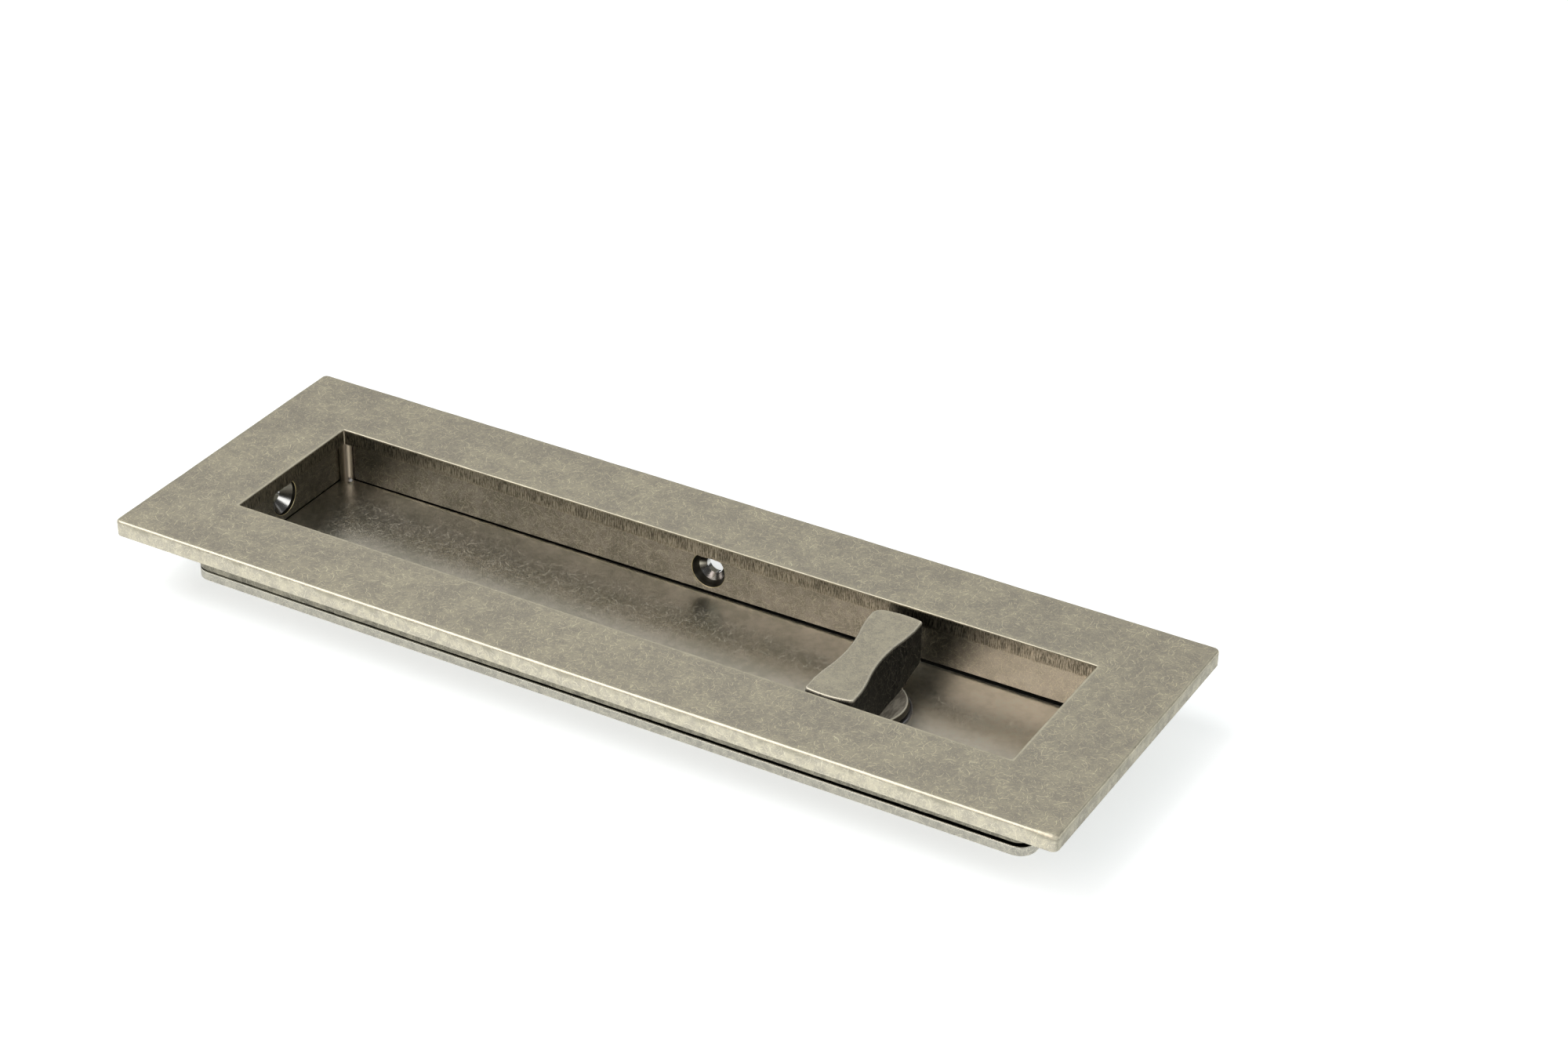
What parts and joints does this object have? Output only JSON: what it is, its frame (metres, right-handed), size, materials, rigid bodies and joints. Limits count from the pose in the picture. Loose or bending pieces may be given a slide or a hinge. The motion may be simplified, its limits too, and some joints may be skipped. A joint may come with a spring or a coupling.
{
  "type": "flush door pull",
  "caption": "Recessed rectangular door pull with a waisted thumbturn lever that lies below its face.",
  "frame": {"origin": "centre of the base plate's underside", "axes": "+X along the pull towards the thumbturn, +Y across it, +Z out of the door, through the open recess"},
  "size_m": [0.25, 0.085, 0.0186],
  "materials": {
    "face_metal": "aged pewter, mottled, edges worn bright",
    "recess_metal": "aged pewter, smoother and browner, half polished",
    "burnished_metal": "burnished",
    "lever_metal": "aged pewter, fine bright edge lines",
    "pillar_metal": "turned and polished",
    "spring_steel": "hardened, dull",
    "screw_steel": "plain zinc plate"
  },
  "bodies": {
    "pull": {"face_frame": "face_metal", "base_plate": "recess_metal", "turn_bush": "burnished_metal", "dished_spring": "spring_steel", "pillar_front_left": "pillar_metal", "pillar_front_right": "pillar_metal", "pillar_back_left": "pillar_metal", "pillar_back_right": "pillar_metal", "base_screw_front_left": "screw_steel", "base_screw_front_right": "screw_steel", "base_screw_back_left": "screw_steel", "base_screw_back_right": "screw_steel"},
    "turn": {"thumbturn": "lever_metal", "retaining_ring": "spring_steel"}
  },
  "joints": [
    {"name": "thumbturn_pivot", "type": "hinge", "parent": "pull", "child": "turn", "pos_m": [0.0559, 0, 0.002], "axis": [0, 0, 1], "range_deg": [-3.2, 86.8]}
  ]
}
